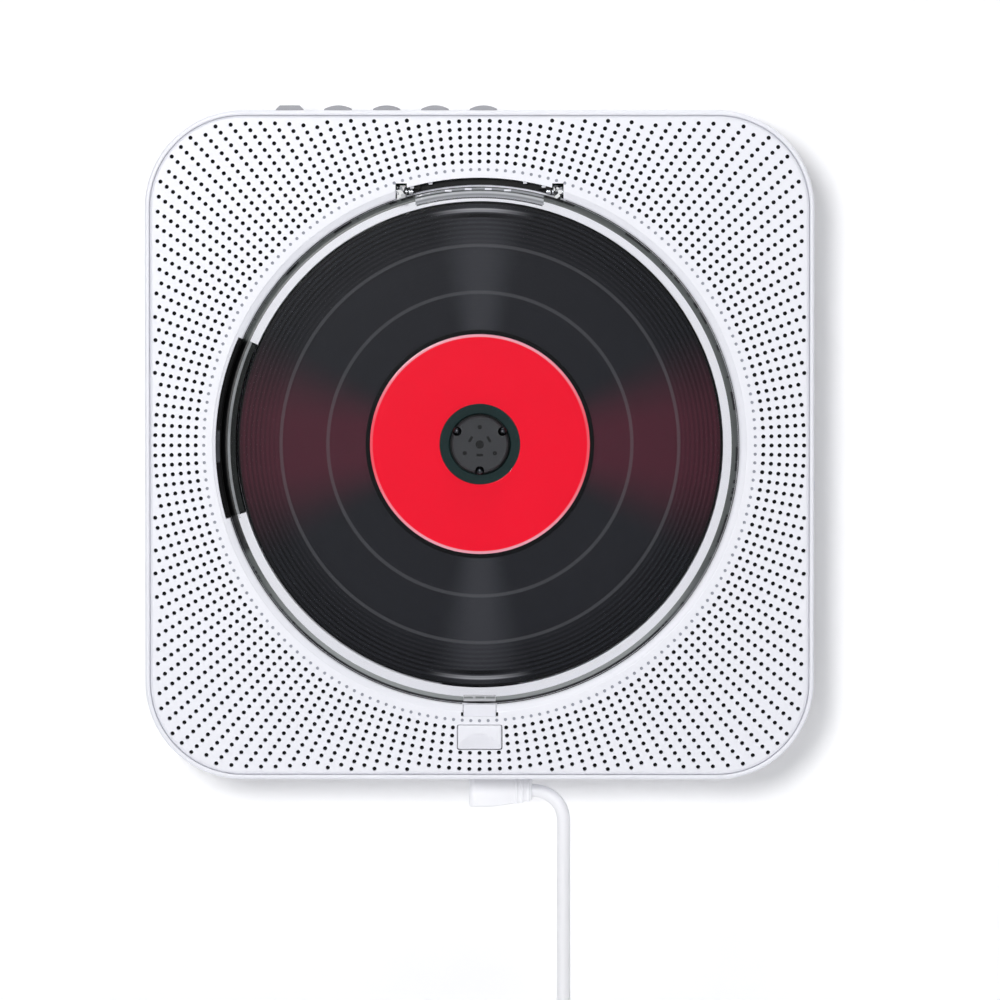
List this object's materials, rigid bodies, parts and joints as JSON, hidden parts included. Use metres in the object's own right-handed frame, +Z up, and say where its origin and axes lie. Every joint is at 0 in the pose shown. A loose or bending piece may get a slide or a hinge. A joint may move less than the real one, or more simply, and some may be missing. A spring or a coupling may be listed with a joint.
{
  "type": "wall mounted CD player",
  "caption": "Wall mounted CD player with a square perforated front, a clear round lid over the disc, top keys, a push button, a wall bracket and a plugged-in power lead.",
  "frame": {"origin": "middle of the wall bracket's two screw holes, on the wall's surface", "axes": "+Z up, +X to the right of someone facing the front, +Y into the wall, so the front faces -Y"},
  "size_m": [0.1655, 0.0333, 0.3047],
  "materials": {
    "white_abs": "satin moulded",
    "light_grey_abs": "fine texture",
    "grey_keys": "satin",
    "black_fabric": "fine weave",
    "zinc_steel": "zinc plated",
    "black_rubber": "matt",
    "smoked_acrylic": "polished",
    "black_plastic": "moulded",
    "green_board": "solder mask",
    "capacitor_sleeve": "shrink sleeve",
    "paper_cone": "coated paper",
    "clear_acrylic": "polished",
    "black_disc": "lacquered",
    "red_print": "printed",
    "coated_glass": "coated",
    "brass": "machined",
    "nickel_plate": "plated",
    "white_pvc": "soft moulded"
  },
  "bodies": {
    "body": {"housing": "white_abs", "front_cover": "white_abs", "acoustic_cloth": "black_fabric", "rear_cover": "light_grey_abs", "case_screws": "zinc_steel", "rubber_pads": "black_rubber", "wall_bracket": "zinc_steel", "disc_well": "white_abs", "well_screws": "zinc_steel", "window_strip": "smoked_acrylic", "sensor_shroud": "black_plastic", "ir_receiver": "smoked_acrylic", "ir_board": "green_board", "hinge_pins": "zinc_steel", "latch_spring": "zinc_steel", "key_board": "green_board", "tact_switches": "black_plastic", "power_switch": "zinc_steel", "audio_jack": "black_plastic", "side_board": "green_board", "dc_socket": "black_plastic", "main_board": "green_board", "board_chips": "black_plastic", "capacitors": "capacitor_sleeve", "speaker_frames": "black_plastic", "speaker_cones": "paper_cone", "speaker_magnets": "zinc_steel", "drive_chassis": "zinc_steel", "chassis_dampers": "black_rubber", "chassis_screws": "zinc_steel", "spindle_motor": "zinc_steel", "guide_rods": "zinc_steel", "sled_motor": "zinc_steel", "gear_axle": "zinc_steel", "dc_plug": "white_pvc", "plug_barrel": "nickel_plate", "cord": "white_pvc", "cord_coil": "white_pvc", "cord_tie": "black_rubber", "usb_plug": "white_pvc", "usb_shell": "nickel_plate"},
    "lid": {"lid": "clear_acrylic"},
    "spindle": {"turntable": "black_plastic", "hub_balls": "zinc_steel", "disc": "black_disc", "disc_label": "red_print", "spindle_shaft": "zinc_steel"},
    "pickup": {"pickup_sled": "black_plastic", "pickup_lens": "coated_glass"},
    "gear_train": {"drive_gear": "light_grey_abs"},
    "motor_pinion": {"motor_gear": "brass"},
    "button": {"open_button": "white_abs"},
    "latch": {"latch_slider": "white_abs"},
    "knob": {"power_knob": "grey_keys"},
    "top_key_1": {"key_1": "grey_keys"},
    "top_key_2": {"key_2": "grey_keys"},
    "top_key_3": {"key_3": "grey_keys"},
    "top_key_4": {"key_4": "grey_keys"},
    "top_key_5": {"key_5": "grey_keys"}
  },
  "joints": [
    {"name": "lid_hinge", "type": "hinge", "parent": "body", "child": "lid", "pos_m": [0, -0.0301, 0.0106], "axis": [-1, 0, 0], "range_deg": [0, 60]},
    {"name": "disc_spin", "type": "hinge", "parent": "body", "child": "spindle", "pos_m": [0, -0.0239, -0.052], "axis": [0, -1, 0], "continuous": true},
    {"name": "pickup_slide", "type": "slide", "parent": "body", "child": "pickup", "axis": [0, 0, -1], "range_m": [0, 0.032]},
    {"name": "drive_gear_turn", "type": "hinge", "parent": "body", "child": "gear_train", "pos_m": [0.029, -0.013, -0.078], "axis": [0, -1, 0], "range_deg": [0, 367]},
    {"name": "motor_gear_turn", "type": "hinge", "parent": "body", "child": "motor_pinion", "pos_m": [0.041, -0.013, -0.078], "axis": [0, 1, 0], "range_deg": [0, 1101]},
    {"name": "button_press", "type": "slide", "parent": "body", "child": "button", "axis": [0, 1, 0], "range_m": [0, 0.0014], "stiffness_N_per_m": 300},
    {"name": "latch_drop", "type": "slide", "parent": "body", "child": "latch", "axis": [0, 0, -1], "range_m": [0, 0.0014], "deforming": ["latch_spring"]},
    {"name": "power_slide", "type": "slide", "parent": "body", "child": "knob", "axis": [0, 0, -1], "range_m": [0, 0.003]},
    {"name": "key_1_press", "type": "slide", "parent": "body", "child": "top_key_1", "axis": [0, 0, -1], "range_m": [0, 0.0006], "stiffness_N_per_m": 400},
    {"name": "key_2_press", "type": "slide", "parent": "body", "child": "top_key_2", "axis": [0, 0, -1], "range_m": [0, 0.0006], "stiffness_N_per_m": 400},
    {"name": "key_3_press", "type": "slide", "parent": "body", "child": "top_key_3", "axis": [0, 0, -1], "range_m": [0, 0.0006], "stiffness_N_per_m": 400},
    {"name": "key_4_press", "type": "slide", "parent": "body", "child": "top_key_4", "axis": [0, 0, -1], "range_m": [0, 0.0006], "stiffness_N_per_m": 400},
    {"name": "key_5_press", "type": "slide", "parent": "body", "child": "top_key_5", "axis": [0, 0, -1], "range_m": [0, 0.0006], "stiffness_N_per_m": 400}
  ],
  "couplings": [
    {"joint": "drive_gear_turn", "follows": "pickup_slide", "rad_per_m": 200},
    {"joint": "motor_gear_turn", "follows": "pickup_slide", "rad_per_m": 600},
    {"joint": "latch_drop", "follows": "button_press", "ratio": 1}
  ]
}
